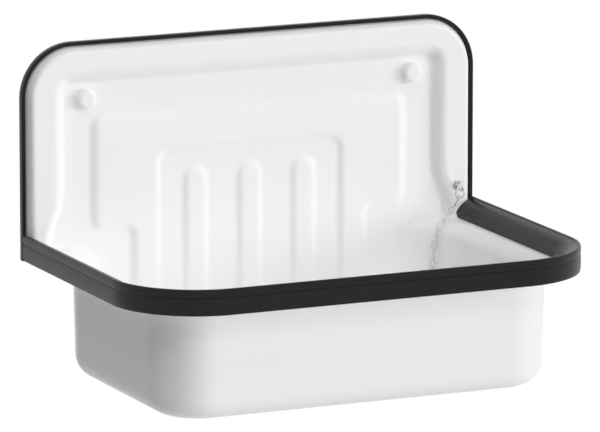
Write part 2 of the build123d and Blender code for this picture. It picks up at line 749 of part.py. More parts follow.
def plug_ring():
    """Ring that lies in the eye of the plug, pulled towards the chain."""
    return Pos(plug_ring_centre()) * wire_ring(RING_RADIUS, RING_WIRE)


def frame_of_part(shape):
    return Pos(0, 0, -FIXING_HEIGHT) * shape


def main():
    os.makedirs("parts", exist_ok=True)
    pieces = {
        "basin_shell": basin_shell(),
        "splash_edge_trim": splash_edge_trim(),
        "rim_trim": rim_trim(),
        "fixing_collars": Compound(children=[fixing_collar(-1), fixing_collar(1)]),
        "fixing_cap_left": fixing_cap(-1),
        "fixing_cap_right": fixing_cap(1),
        "chain_eyebolt": chain_eyebolt(),
        "chain_rosette": chain_rosette(),
        "eyebolt_seal": eyebolt_seal(),
        "eyebolt_nut": eyebolt_nut(),
        "waste_strainer": waste_strainer(),
        "waste_gasket_upper": waste_gasket_upper(),
        "waste_gasket_lower": waste_gasket_lower(),
        "waste_body": waste_body(),
        "waste_screw": waste_screw(),
        "plug_body": plug_body(),
        "plug_eyelet": plug_eyelet(),
        "plug_ring": plug_ring(),
        "plug_chain": plug_chain(),
        "chain_anchor_ring": chain_anchor_ring(),
    }
    for name, shape in pieces.items():
        export_step(frame_of_part(shape), f"parts/{name}.step")
        print(name, len(shape.solids()), round(shape.volume))


main()
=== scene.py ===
import bmesh
import bpy
import json
import numpy as np
from math import acos, atan2, cos, hypot, pi, radians, sin, sqrt, tan
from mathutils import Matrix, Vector
from mathutils.geometry import delaunay_2d_cdt


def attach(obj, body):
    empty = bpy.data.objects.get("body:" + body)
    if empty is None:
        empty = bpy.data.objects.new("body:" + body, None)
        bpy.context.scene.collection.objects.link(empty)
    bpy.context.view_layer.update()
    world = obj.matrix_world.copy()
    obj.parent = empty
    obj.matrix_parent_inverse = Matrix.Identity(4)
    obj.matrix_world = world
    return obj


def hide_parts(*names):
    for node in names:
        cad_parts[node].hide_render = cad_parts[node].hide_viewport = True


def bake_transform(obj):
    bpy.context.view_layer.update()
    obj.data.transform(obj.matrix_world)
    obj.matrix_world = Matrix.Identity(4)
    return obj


# A wall-hung enamelled utility sink with its splashback.
# Shapes are worked out in millimetres with z = 0 at the top edge of the rim profile, as the part is
# drawn, and are placed in the frame, in metres, by to_frame.

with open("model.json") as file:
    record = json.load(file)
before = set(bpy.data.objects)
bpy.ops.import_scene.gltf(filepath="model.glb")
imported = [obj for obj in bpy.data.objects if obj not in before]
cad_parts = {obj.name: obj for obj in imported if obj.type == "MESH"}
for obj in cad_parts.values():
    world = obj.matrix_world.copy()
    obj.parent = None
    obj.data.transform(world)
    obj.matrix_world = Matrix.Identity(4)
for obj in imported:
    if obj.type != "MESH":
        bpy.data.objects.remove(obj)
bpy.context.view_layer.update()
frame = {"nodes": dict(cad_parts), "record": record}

MM = 0.001
FIXING_HEIGHT = 136.5

# Overall sizes and the sheet
WIDTH = 510.0
DEPTH = 333.0
SPLASH_TOP = 196.5
BOWL_UNDERSIDE = -143.5
SHEET = 1.8
BORDER_FRONT = 14.5
EDGE_RUN = 5.4
EDGE_FALL = 12.5
EDGE_SOFT = 2.5
LIP_BACK = 1.4

# Bowl
FLANGE_TOP = -20.3
WALL_INSET = 38.8
RIM_CORNER = 92.5
REAR_CORNER = 61.0
DRAFT = 0.024
FLOOR_RADIUS = 21.0
FLARE_RADIUS = 16.0
FLANGE_INSET = 2.6
CREASE = 6.0

# Pressed relief of the splashback
RECESS_DEPTH = 12.0
RECESS_RUN = 10.5
RECESS_FOOT_RUN = 4.2
RECESS_FOOT_DEPTH = 5.5
RECESS_HALF = 219.5
RECESS_TOP = 165.0
RECESS_CORNER = 19.0
RECESS_FOOT_HALF = 232.7
FLARE_TOP = 44.2
FLARE_FOOT = -13.4
PLATEAU_RISE = 4.2
PLATEAU_RUN = 7.8
PLATEAU_HALF = 178.5
PLATEAU_TOP = 117.0
PLATEAU_FOOT = -3.5
PLATEAU_CORNER = 14.0
STEM_HALF = 134.0
STEM_TOP = 77.0
PANEL_HALF = 106.5
PANEL_TOP = 79.0
PANEL_CORNER = 17.0
PANEL_DEPTH = 3.3
PANEL_RUN = 6.6
RIB_COUNT = 3
RIB_PITCH = 61.0
RIB_HALF = 14.5
RIB_TOP = 57.0
RIB_RISE = 2.8
RIB_RUN = 5.6
SOFT_EDGE = 2.6

# Trims
STRIP_WIDTH = 4.0
STRIP_DEPTH = 7.4
STRIP_CORNER = 56.0
RIM_FACE = 26.8
RIM_GAP = 0.2
RIM_LIP_TOP = -15.0
RIM_END_CLEARANCE = 0.05
RIM_END_STEP = 0.2
CROWN_START = (4.8, -1.2)
CROWN_END = (22.3, -14.2)
CROWN_RADIUS = 25.0

# Wall fixings
FIXING_SPACING = 368.0
FIELD_FRONT = BORDER_FRONT - RECESS_DEPTH
FIXING_BORE = 10.5
COLLAR_SLEEVE = 14.0
COLLAR_FLANGE = 18.4
COLLAR_THICK = 3.0
COLLAR_HOLE = 14.2
CAP_DIAMETER = 22.0
CAP_HEIGHT = 9.5
CAP_WALL = 1.5
CAP_ROUND = 5.6

# Eye bolt and chain
EYE_X = 232.7
EYE_Z = 15.0
EYE_HOLE = 6.4
EYE_SHANK = 5.8
EYE_THREAD_PITCH = 1.0
EYE_THREAD_DEPTH = 0.55
EYE_SHANK_BACK = 4.7
EYE_LOOP = 7.0
EYE_WIRE = 2.4
EYE_NECK = 5.0
ROSETTE = 11.0
ROSETTE_THICK = 1.2
SEAL_THICK = 1.5
SEAL_BACK = BORDER_FRONT - SHEET - SEAL_THICK
NUT_ACROSS_FLATS = 10.0
NUT_THICK = 4.5
RING_RADIUS = 5.0
RING_WIRE = 1.6
LINK_PITCH = 21.5
LINK_REACH = 11.7
LOOP_RADIUS = 2.6
CHAIN_WIRE = 1.5
WAIST_HALF = 2.1
WINDING_WIRE = 1.2
WINDING_RADIUS = 1.5
WINDING_TUCK = 0.5
WAIST_CORE = 1.15
TWISTED_LINKS = 4
ANCHOR_PULL = np.array((-0.3304, 0, -0.9439))
ANCHOR_CENTRE = np.array((EYE_X, -24.2, 10.3)) + 2.9 * ANCHOR_PULL
PLUG_RING_CENTRE = np.array((6.923, -125, -132.95))
INSIDE_RING = 4.1
CHAIN_LEAD = 6.0

# Waste and plug
WASTE_Y = -125.0
WASTE_HOLE = 52.0
DISH_DIAMETER = 76.0
DISH_EDGE = 4.0
DISH_DEPTH = 3.0
STRAINER_SEAT = -142.7
STRAINER_CUP = 23.0
STRAINER_DEPTH = 10.0
STRAINER_LIP = 35.0
STRAINER_WALL = 1.5
STRAINER_HOLES = 8
STRAINER_HOLE = 6.0
STRAINER_HOLE_RING = 14.0
SCREW_HOLE = 3.1
PLUG_SEAT = -141.2
PLUG_EYE_HEIGHT = 10.0
GASKET_THICK = 2.0
BODY_TOP = -148.5
BODY_FLANGE = 36.0
TAIL_RADIUS = 23.9
TAIL_BORE = 20.0
THREAD_PITCH = 2.309
THREAD_DEPTH = 1.2
THREAD_LOW = -25.0
THREAD_HIGH = -11.0
THREAD_FADE = 1.2
BRIDGE_DROP = 22.0
BRIDGE_HALF_HEIGHT = 3.0
SCREW_RADIUS = 3.0
SCREW_PITCH = 1.0
SCREW_THREAD_DEPTH = 0.5
SCREW_HEAD = 6.0
SCREW_HEAD_THICK = 3.0


def to_frame(points):
    """Points in millimetres from the rim's top edge, as points of the frame in metres."""
    points = np.array(points, float)
    points[..., 2] -= FIXING_HEIGHT
    return points * MM


def add_object(name, mesh, material, replaced, body="root"):
    """Puts a mesh in the scene in place of a CAD node, on a body unless that is None."""
    thing = bpy.data.objects.new(name, mesh)
    bpy.context.scene.collection.objects.link(thing)
    mesh.materials.append(material)
    if body is not None:
        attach(thing, body)
    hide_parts(replaced)
    return thing


def make_mesh(name, points, faces, crease_angle=None, normals=None):
    """Smooth-shaded mesh from points in millimetres and lists of corners."""
    mesh = bpy.data.meshes.new(name)
    mesh.from_pydata(to_frame(points).tolist(), [], [list(face) for face in faces])
    mesh.validate()
    if normals is None:
        work = bmesh.new()
        work.from_mesh(mesh)
        bmesh.ops.recalc_face_normals(work, faces=work.faces)
        work.to_mesh(mesh)
        work.free()
    mesh.shade_smooth()
    if crease_angle is not None:
        mesh.set_sharp_from_angle(angle=radians(crease_angle))
    if normals is not None:
        mesh.normals_split_custom_set_from_vertices(normals.tolist())
    return mesh


# Distances that describe the pressed sheet. Each is negative inside its shape.

def rounded_corner(across, up, radius):
    """Distance to a quadrant with a rounded corner, from distances to its two sides."""
    u = across + radius
    v = up + radius
    outside = np.hypot(np.maximum(u, 0), np.maximum(v, 0))
    return outside + np.minimum(np.maximum(u, v), 0) - radius


def rounded_cut(a, b, radius):
    """Distance to what two shapes share, with their common edge rounded."""
    u = np.maximum(radius + a, 0)
    v = np.maximum(radius + b, 0)
    return np.minimum(-radius, np.maximum(a, b)) + np.hypot(u, v)


def rounded_join(a, b, radius):
    """Distance to two shapes together, with the corner between them filled round."""
    u = np.maximum(radius - a, 0)
    v = np.maximum(radius - b, 0)
    return np.maximum(radius, np.minimum(a, b)) - np.hypot(u, v)


def soft_greater(a, b, width):
    """The greater of two values, blended where they differ by less than a width."""
    near = np.maximum(width - np.abs(a - b), 0)
    return np.maximum(a, b) + near ** 2 / (4 * np.maximum(width, 1e-6))


def soft_positive(value, width):
    """The value where it is positive and 0 where it is not, with a parabola between."""
    blend = (value + width) ** 2 / (4 * width)
    return np.where(value < -width, 0, np.where(value > width, value, blend))


def pressed(distance, height, run):
    """Height gained by a pressed shape's sloping side, at a distance to its outline."""
    rise = soft_positive(-distance, SOFT_EDGE) - soft_positive(-distance - run, SOFT_EDGE)
    return height * rise / run


def recess_distance(x, z):
    share = np.clip((FLARE_TOP - z) / (FLARE_TOP - FLARE_FOOT), 0, 1)
    widening = np.where(share < 0.5, 2 * share ** 2, 1 - 2 * (1 - share) ** 2)
    slope = np.where(share < 0.5, 4 * share, 4 * (1 - share))
    slope = slope * (RECESS_FOOT_HALF - RECESS_HALF) / (FLARE_TOP - FLARE_FOOT)
    half = RECESS_HALF + (RECESS_FOOT_HALF - RECESS_HALF) * widening
    side = (np.abs(x) - half) / np.sqrt(1 + slope ** 2)
    return rounded_corner(side, z - RECESS_TOP, RECESS_CORNER)


def plateau_distance(x, z):
    upper = rounded_corner(np.abs(x) - PLATEAU_HALF, z - PLATEAU_TOP, PLATEAU_CORNER)
    foot = rounded_corner(np.abs(x) - PLATEAU_HALF, PLATEAU_FOOT - z, PLATEAU_CORNER)
    head = np.maximum(upper, foot)
    stem = np.maximum(np.abs(x) - STEM_HALF, z - STEM_TOP)
    return rounded_join(head, stem, PLATEAU_CORNER / 2)


def splash_height(x, z):
    """Distance of the sheet's front from the wall."""
    recess = recess_distance(x, z)
    height = BORDER_FRONT - pressed(recess, RECESS_DEPTH - RECESS_FOOT_DEPTH, RECESS_RUN)
    height -= pressed(recess + RECESS_RUN - RECESS_FOOT_RUN, RECESS_FOOT_DEPTH, RECESS_FOOT_RUN)
    height += pressed(plateau_distance(x, z), PLATEAU_RISE, PLATEAU_RUN)
    panel = rounded_corner(np.abs(x) - PANEL_HALF, z - PANEL_TOP, PANEL_CORNER)
    height -= pressed(panel, PANEL_DEPTH, PANEL_RUN)
    for number in range(RIB_COUNT):
        centre = (number - (RIB_COUNT - 1) / 2) * RIB_PITCH
        rib = rounded_corner(np.abs(x - centre) - RIB_HALF, z - RIB_TOP, RIB_HALF - 1)
        height += pressed(rib, RIB_RISE, RIB_RUN)
    return height


def splash_distance(x, y, z):
    """Distance to the block behind the splashback's front."""
    side = np.abs(x) - (WIDTH / 2 - STRIP_WIDTH)
    top = z - (SPLASH_TOP - STRIP_WIDTH)
    outline = rounded_corner(side, top, STRIP_CORNER - STRIP_WIDTH)
    slope = (EDGE_FALL * (outline + EDGE_RUN) + EDGE_RUN * (-y - BORDER_FRONT)) / hypot(EDGE_RUN, EDGE_FALL)
    front = rounded_cut(-y - splash_height(x, z), slope, EDGE_SOFT)
    return rounded_cut(front, outline, LIP_BACK / 2)


def space_distance(x, y, z):
    """Distance to the open space in front of the splashback and in the bowl."""
    behind_splash = -splash_distance(x, y, z)
    side = WIDTH / 2 - WALL_INSET
    front = DEPTH - WALL_INSET
    draft = DRAFT * np.maximum(FLANGE_TOP - z, 0)
    plan = rounded_corner(np.abs(x) - side, -y - front, RIM_CORNER - WALL_INSET) + draft
    walls = rounded_cut(plan, behind_splash, REAR_CORNER)
    from_waste = np.hypot(x, y - WASTE_Y) - DISH_DIAMETER / 2 - DISH_EDGE
    floor = BOWL_UNDERSIDE + SHEET - pressed(from_waste, DISH_DEPTH, DISH_EDGE)
    bowl = rounded_cut(walls, floor - z, FLOOR_RADIUS)
    above = FLANGE_TOP - z
    space = rounded_join(bowl, above, FLARE_RADIUS)
    crease = np.hypot(FLARE_RADIUS, np.maximum(FLARE_RADIUS - above, 0)) - FLARE_RADIUS
    return soft_greater(space, behind_splash, np.minimum(crease, CREASE))


def sheet_edge_distance(x, y, z):
    """Distance to the region that the sheet fills: its turned edge, its flange and its holes."""
    flange = rounded_corner(np.abs(x) - (WIDTH / 2 - FLANGE_INSET), -y - (DEPTH - FLANGE_INSET),
                            RIM_CORNER - FLANGE_INSET)
    beside_splash = np.minimum(y + STRIP_DEPTH + 1, np.abs(x) - (WIDTH / 2 - STRIP_WIDTH + 0.5))
    edge = np.maximum(np.maximum(y + LIP_BACK, flange), beside_splash)
    for side in (-1, 1):
        fixing = np.hypot(x - side * FIXING_SPACING / 2, z - FIXING_HEIGHT)
        edge = np.maximum(edge, COLLAR_HOLE / 2 - fixing)
    eye = np.hypot(x - EYE_X, z - EYE_Z)
    edge = np.maximum(edge, np.where(z > FLANGE_TOP / 2, EYE_HOLE / 2 - eye, edge))
    waste = np.hypot(x, y - WASTE_Y)
    low = z < BOWL_UNDERSIDE / 2
    return np.maximum(edge, np.where(low, WASTE_HOLE / 2 - waste, edge))


def gradient(field, points, step=0.05):
    """Slopes of a field at points, from differences."""
    slopes = np.empty_like(points)
    for axis in range(3):
        shift = np.zeros(3)
        shift[axis] = step
        ahead = field(*(points + shift).T)
        behind = field(*(points - shift).T)
        slopes[:, axis] = (ahead - behind) / (2 * step)
    return slopes


def move_onto(field, points, rounds):
    """Moves points along the field's slope to where it is 0."""
    for _ in range(rounds):
        slopes = gradient(field, points)
        size = np.maximum((slopes ** 2).sum(1), 1e-4)
        points = points - slopes * (field(*points.T) / size)[:, None]
    return points


def grid_lines(*stretches):
    """Grid lines from stretches (start, end, step)."""
    lines = [np.linspace(start, end, max(2, round(abs(end - start) / step) + 1))[:-1]
             for start, end, step in stretches]
    return np.concatenate(lines + [[stretches[-1][1]]])


def net_surface(field, xs, ys, zs):
    """Quads along the surface where a field is 0, one point in each grid cell that it crosses."""
    grid = np.meshgrid(xs, ys, zs, indexing="ij")
    values = field(*grid).astype(np.float32)
    inside = values < 0
    shape = tuple(size - 1 for size in values.shape)
    total = np.zeros(shape + (3,), np.float32)
    count = np.zeros(shape, np.float32)
    crossings = []
    for axis in range(3):
        ahead = [slice(None)] * 3
        behind = [slice(None)] * 3
        ahead[axis] = slice(1, None)
        behind[axis] = slice(None, -1)
        ahead, behind = tuple(ahead), tuple(behind)
        crosses = inside[ahead] != inside[behind]
        where = np.argwhere(crosses)
        low = values[behind][crosses]
        high = values[ahead][crosses]
        share = low / (low - high)
        corner = np.stack([grid[k][behind][crosses] for k in range(3)], 1)
        far = np.stack([grid[k][ahead][crosses] for k in range(3)], 1)
        spot = corner + (far - corner) * share[:, None]
        others = [k for k in range(3) if k != axis]
        for one in (0, -1):
            for two in (0, -1):
                cell = where.copy()
                cell[:, others[0]] += one
                cell[:, others[1]] += two
                valid = ((cell >= 0) & (cell < shape)).all(1)
                index = tuple(cell[valid].T)
                np.add.at(total, index, spot[valid])
                np.add.at(count, index, 1)
        crossings.append((axis, others, where, low < 0))
    used = count > 0
    number = -np.ones(shape, np.int64)
    number[used] = np.arange(used.sum())
    points = (total[used] / count[used][:, None]).astype(float)
    quads = []
    for axis, others, where, low_inside in crossings:
        inner = ((where[:, others[0]] > 0) & (where[:, others[1]] > 0)
                 & (where[:, others[0]] < shape[others[0]]) & (where[:, others[1]] < shape[others[1]]))
        where = where[inner]
        low_inside = low_inside[inner]
        ring = []
        for one, two in ((-1, -1), (0, -1), (0, 0), (-1, 0)):
            cell = where.copy()
            cell[:, others[0]] += one
            cell[:, others[1]] += two
            ring.append(number[tuple(cell.T)])
        ring = np.stack(ring, 1)
        turned = ~low_inside if axis == 1 else low_inside
        ring[turned] = ring[turned][:, ::-1]
        quads.append(ring)
    return points, np.concatenate(quads)


def basin_mesh():
    """The pressed sheet: a net over its front, thickened by the sheet along the true normals."""
    # The grid is closer where the sheet bends.
    half = WIDTH / 2 - 2
    xs = grid_lines((-half, half, 2.5))
    ys = grid_lines((-DEPTH, -262, 2.7), (-262, -180, 5), (-180, -72, 2.7), (-72, -26, 4), (-26, 0, 2.2))
    zs = grid_lines((-148, -112, 2.4), (-112, -44, 4.5), (-44, SPLASH_TOP, 2.5))
    points, quads = net_surface(space_distance, xs, ys, zs)
    middle = points[quads].mean(1)
    quads = quads[sheet_edge_distance(*middle.T) < 0]
    used, quads = np.unique(quads, return_inverse=True)
    quads = quads.reshape(-1, 4)
    points = move_onto(space_distance, points[used], 4)

    sides = np.concatenate([quads[:, [k, (k + 1) % 4]] for k in range(4)])
    keys = np.sort(sides, 1)
    _, first, times = np.unique(keys, axis=0, return_index=True, return_counts=True)
    border = sides[first[times == 1]]
    on_border = np.unique(border)
    for _ in range(3):
        points[on_border] = move_onto(sheet_edge_distance, points[on_border], 1)
        points[on_border] = move_onto(space_distance, points[on_border], 1)

    inward = gradient(space_distance, points)
    inward /= np.linalg.norm(inward, axis=1)[:, None]
    count = len(points)
    all_points = np.concatenate([points, points + inward * SHEET])
    edge_quads = np.stack([border[:, 1], border[:, 0], border[:, 0] + count, border[:, 1] + count], 1)
    faces = np.concatenate([quads, quads[:, ::-1] + count, edge_quads])
    normals = np.concatenate([-inward, inward])
    return make_mesh("basin_shell_sheet", all_points, faces.tolist(), normals=normals)


# Lathe-turned, swept and wire pieces

def turned(profile, place, steps=72, reshape=None):
    """Points and faces of a closed (radius, height) profile turned about an axis.

    place maps (x, y, height) to millimetres. reshape may change a radius by its height and angle.
    """
    points = []
    rings = []
    for radius, height in profile:
        if radius < 1e-6:
            rings.append([len(points)] * steps)
            points.append((0, 0, height))
            continue
        rings.append(list(range(len(points), len(points) + steps)))
        for step in range(steps):
            turn = 2 * pi * step / steps
            reach = radius if reshape is None else reshape(radius, height, turn)
            points.append((reach * cos(turn), reach * sin(turn), height))
    faces = []
    for lower, upper in zip(rings, rings[1:] + rings[:1]):
        for step in range(steps):
            after = (step + 1) % steps
            corners = [lower[step], lower[after], upper[after], upper[step]]
            corners = list(dict.fromkeys(corners))
            if len(corners) > 2:
                faces.append(corners)
    return [place(*point) for point in points], faces


def lathe(name, corners, place, steps=72, crease_angle=30):
    """Mesh turned from (radius, height, rounding) corners of a closed profile."""
    return make_mesh(name, *turned(rounded_outline(corners), place, steps), crease_angle)


def rod(radius, low, high, rounding=0):
    """Corners of a solid round bar for lathe."""
    return [(0, low, 0), (radius, low, rounding), (radius, high, rounding), (0, high, 0)]


def box_mesh(name, middle, half):
    """Box from its middle and its half sizes."""
    corners = [np.array(middle) + np.array((x, y, z)) * half
               for x in (-1, 1) for y in (-1, 1) for z in (-1, 1)]
    sides = [(0, 1, 3, 2), (4, 6, 7, 5), (0, 4, 5, 1), (2, 3, 7, 6), (0, 2, 6, 4), (1, 5, 7, 3)]
    return make_mesh(name, corners, sides)


def merged(*parts):
    """Several lists of points and faces as one."""
    points = []
    faces = []
    for part_points, part_faces in parts:
        first = len(points)
        points.extend(part_points)
        faces.extend([first + corner for corner in face] for face in part_faces)
    return points, faces


def tube(path, radius, sides=12, closed=False):
    """Points and faces of a round wire along a path."""
    path = np.array(path, float)
    ahead = np.roll(path, -1, 0) - path
    behind = path - np.roll(path, 1, 0)
    if not closed:
        ahead[-1] = behind[-1]
        behind[0] = ahead[0]
    along = ahead + behind
    along /= np.linalg.norm(along, axis=1)[:, None]
    across = np.cross(along[0], (0.31, 0.52, 0.79))
    points = []
    for spot, direction in zip(path, along):
        across = across - direction * across.dot(direction)
        across /= np.linalg.norm(across)
        other = np.cross(direction, across)
        for side in range(sides):
            turn = 2 * pi * side / sides
            points.append(spot + radius * (cos(turn) * across + sin(turn) * other))
    count = len(path)
    faces = []
    for ring in range(count if closed else count - 1):
        after = (ring + 1) % count
        for side in range(sides):
            beside = (side + 1) % sides
            faces.append([ring * sides + side, ring * sides + beside,
                          after * sides + beside, after * sides + side])
    if not closed:
        faces.append(list(range(sides)))
        faces.append(list(range((count - 1) * sides, count * sides)))
    return points, faces


def circle(centre, radius, one, other, steps=48):
    """Points on a circle in the plane of two directions."""
    one = np.array(one, float)
    other = np.array(other, float)
    return [np.array(centre) + radius * (cos(turn) * one + sin(turn) * other)
            for turn in np.arange(steps) * 2 * pi / steps]


def combined(mesh, others, operation, crease_angle=30):
    """A closed mesh with other closed meshes cut from it or joined to it."""
    collection = bpy.context.scene.collection
    things = [bpy.data.objects.new("work", piece) for piece in [mesh] + others]
    for thing in things:
        collection.objects.link(thing)
    for tool in things[1:]:
        modifier = things[0].modifiers.new("work", "BOOLEAN")
        modifier.operation = operation
        modifier.solver = "EXACT"
        modifier.object = tool
    result = bpy.data.meshes.new_from_object(things[0].evaluated_get(bpy.context.evaluated_depsgraph_get()))
    result.name = mesh.name
    for thing in things:
        bpy.data.objects.remove(thing)
    result.shade_smooth()
    result.set_sharp_from_angle(angle=radians(crease_angle))
    return result


def from_wall(x, z, front):
    """Place on an axis square to the wall, a distance in front of it."""
    return lambda across, up, height: (x + across, -front - height, z + up)


def upright(level, x=0, y=WASTE_Y):
    """Place on an upright axis, on that of the waste if no other is given."""
    return lambda across, back, height: (x + across, y + back, level + height)


def rounded_outline(corners, steps=5):
    """Closed outline through (x, y, rounding) corners, with its corners as arcs."""
    outline = []
    count = len(corners)
    for index, (x, y, radius) in enumerate(corners):
        here = np.array((x, y), float)
        if radius <= 0:
            outline.append((x, y))
            continue
        back = np.array(corners[index - 1][:2], float) - here
        ahead = np.array(corners[(index + 1) % count][:2], float) - here
        back /= np.linalg.norm(back)
        ahead /= np.linalg.norm(ahead)
        half = acos(np.clip(back.dot(ahead), -1, 1)) / 2
        reach = radius / tan(half)
        centre = here + (back + ahead) / np.linalg.norm(back + ahead) * radius / sin(half)
        start = here + back * reach - centre
        end = here + ahead * reach - centre
        first = atan2(start[1], start[0])
        turn = (atan2(end[1], end[0]) - first + pi) % (2 * pi) - pi
        for step in range(steps + 1):
            angle = first + turn * step / steps
            outline.append((centre[0] + radius * cos(angle), centre[1] + radius * sin(angle)))
    return outline


def three_sided_path(half, length, corner, steps, runs):
    """Path up one side, across and down the other: points and their outward directions, from above."""
    stations = []
    for share in np.linspace(0, 1, runs + 1)[:-1]:
        stations.append(((-half, share * (length - corner)), (-1, 0)))
    for step in range(steps + 1):
        angle = pi - step / steps * pi / 2
        direction = (cos(angle), sin(angle))
        stations.append(((corner - half + corner * direction[0], length - corner + corner * direction[1]),
                         direction))
    across = half - corner
    for share in np.linspace(-1, 1, 2 * runs + 1)[1:-1]:
        stations.append(((share * across, length), (0, 1)))
    mirrored = [((-x, y), (-dx, dy)) for (x, y), (dx, dy) in reversed(stations[:runs + steps + 1])]
    return stations + mirrored


def section_triangles(section):
    """Triangles that fill a section, each between near points, so that an end can follow a curved wall."""
    size = len(section)
    corners = [Vector(point) for point in section]
    sides = [(k, (k + 1) % size) for k in range(size)]
    _, _, triangles, sources, _, _ = delaunay_2d_cdt(corners, sides, [list(range(size))], 1, 1e-6)
    return [[sources[corner][0] for corner in triangle] for triangle in triangles]


def sweep(name, section, stations, place, end_shift=None, crease_angle=28):
    """Mesh swept along stations. A section point is (inset, height); place maps path and height to mm."""
    points = []
    last = len(stations) - 1
    for index, ((px, py), (dx, dy)) in enumerate(stations):
        for inset, height in section:
            x = px - dx * inset
            y = py - dy * inset
            if end_shift is not None and index in (0, last):
                y = end_shift(x, height)
            points.append(place(x, y, height))
    size = len(section)
    faces = []
    for index in range(last):
        for k in range(size):
            after = (k + 1) % size
            faces.append([index * size + k, index * size + after,
                          (index + 1) * size + after, (index + 1) * size + k])
    for corners in section_triangles(section):
        faces.append(corners[::-1])
        faces.append([last * size + k for k in corners])
    return make_mesh(name, points, faces, crease_angle)


def bulged(start, end, bulge, steps=6):
    """Points of a slightly convex face between two (inset, height) points, without the first."""
    points = []
    for step in range(1, steps + 1):
        share = step / steps
        inset = start[0] + (end[0] - start[0]) * share - bulge * 4 * share * (1 - share)
        points.append((inset, start[1] + (end[1] - start[1]) * share))
    return points


def crown_points(steps=20):
    """Points on the rim's crown, from its groove to its inner lip."""
    start = np.array(CROWN_START)
    end = np.array(CROWN_END)
    chord = end - start
    inward = np.array((chord[1], -chord[0])) / np.linalg.norm(chord)
    reach = sqrt(CROWN_RADIUS ** 2 - (np.linalg.norm(chord) / 2) ** 2)
    centre = (start + end) / 2 + inward * reach
    first = atan2(*(start - centre)[::-1])
    last = atan2(*(end - centre)[::-1])
    return [(centre[0] + CROWN_RADIUS * cos(angle), centre[1] + CROWN_RADIUS * sin(angle))
            for angle in np.linspace(first, last, steps + 1)]


def rim_section():
    """Section of the rim profile: inset from its outer face, height."""
    slot_top = FLANGE_TOP + 0.1
    slot_floor = FLANGE_TOP - SHEET - 0.1
    lower = [(6.2, -RIM_FACE), (1.4, -RIM_FACE), (0.75, 0.4 - RIM_FACE), (0.45, 1.1 - RIM_FACE)]
    face = lower + bulged((0.45, 1.1 - RIM_FACE), (0.35, -10.1), 0.4)
    face += [(0.55, -9.5), (1.0, -9.05), (0.5, -8.5), (0.2, -7.9)]
    face += bulged((0.2, -7.9), (0.25, -1.6), 0.2)
    bead = [(0.45, -0.85), (0.9, -0.3), (1.5, -0.05), (2.4, 0), (3.3, -0.12), (3.85, -0.45), (4.15, -0.95),
            (4.45, -1.2)]
    lip = [(22.3, -15.4), (22.2, slot_top + 0.4)]
    lip += [(inset, slot_top) for inset in np.linspace(21.8, 2.4, 22)]
    lip += [(inset, slot_floor) for inset in np.linspace(2.4, 7, 6)]
    lip += [(7, 0.8 - RIM_FACE)]
    return face + bead + crown_points() + lip


def rim_end(x, height):
    """Where a line of the rim profile meets the splashback or its strip."""
    across = abs(x)
    side = WIDTH / 2 - STRIP_WIDTH
    if across > side:
        return STRIP_DEPTH + RIM_GAP
    front = float(splash_height(np.array(across), np.array(height)))
    slope = BORDER_FRONT - (across - side + EDGE_RUN) * EDGE_FALL / EDGE_RUN
    end = max(min(front, slope), STRIP_DEPTH) + RIM_GAP
    # The lip stops short of the fillet between splashback and bowl.
    while FLANGE_TOP < height < RIM_LIP_TOP and end < BORDER_FRONT + CREASE:
        if space_distance(np.array(across), np.array(-end), np.array(height)) < -RIM_END_CLEARANCE:
            break
        end += RIM_END_STEP
    return end


def rim_mesh():
    stations = three_sided_path(WIDTH / 2, DEPTH, RIM_CORNER, 40, 6)
    return sweep("rim_profile", rim_section(), stations, lambda x, y, z: (x, -y, z), rim_end)


def strip_mesh():
    near = STRIP_WIDTH - 0.1
    section = rounded_outline([
        (0, 0, 0.7), (0, STRIP_DEPTH, 1.0), (near, STRIP_DEPTH, 0.4), (near, 1.2, 0), (7.7, 1.2, 0),
        (7.7, 4.6, 0.35), (9.5, 4.6, 0.35), (9.5, 0, 0),
    ])
    stations = three_sided_path(WIDTH / 2, SPLASH_TOP + RIM_FACE, STRIP_CORNER, 32, 6)
    return sweep("splash_edge_strip", section, stations, lambda x, y, z: (x, -z, y - RIM_FACE))


# Wall fixings

def cap_mesh(side):
    """White cover, a low cup with a rounded edge, open at the back."""
    edge = CAP_DIAMETER / 2
    inside = edge - CAP_WALL
    ceiling = CAP_HEIGHT - CAP_WALL
    profile = rounded_outline([
        (0, CAP_HEIGHT, 0), (0, ceiling, 0), (inside, ceiling, CAP_ROUND - CAP_WALL), (inside, 0.1, 0),
        (edge - 0.5, 0.1, 0.2), (edge, 0.7, 0.5), (edge - 0.15, CAP_HEIGHT - 0.15, CAP_ROUND),
        (edge / 2, CAP_HEIGHT, edge / 2),
    ], 8)
    place = from_wall(side * FIXING_SPACING / 2, FIXING_HEIGHT, FIELD_FRONT)
    return make_mesh("fixing_cover", *turned(profile, place, 96), 30)


def collars_mesh():
    """Both plastic collars, each through its hole in the sheet."""
    bore = FIXING_BORE / 2
    flange = COLLAR_FLANGE / 2
    sleeve = COLLAR_SLEEVE / 2
    back = 0.4 - FIELD_FRONT
    profile = rounded_outline([
        (bore, back, 0.4), (sleeve, back, 0.4), (sleeve, 0.05, 0), (flange, 0.05, 0.3),
        (flange, COLLAR_THICK, 0.9), (bore, COLLAR_THICK, 0.6),
    ])
    places = [from_wall(side * FIXING_SPACING / 2, FIXING_HEIGHT, FIELD_FRONT) for side in (-1, 1)]
    return make_mesh("fixing_collar_pair", *merged(*[turned(profile, place) for place in places]), 30)


# Eye bolt

def thread_wave(height, turn, pitch):
    """Depth of a screw thread, from 0 at its crest to 1 at its root."""
    share = (height / pitch - turn / (2 * pi)) % 1
    return np.clip(1.25 * (1 - abs(2 * share - 1)) - 0.12, 0, 1)


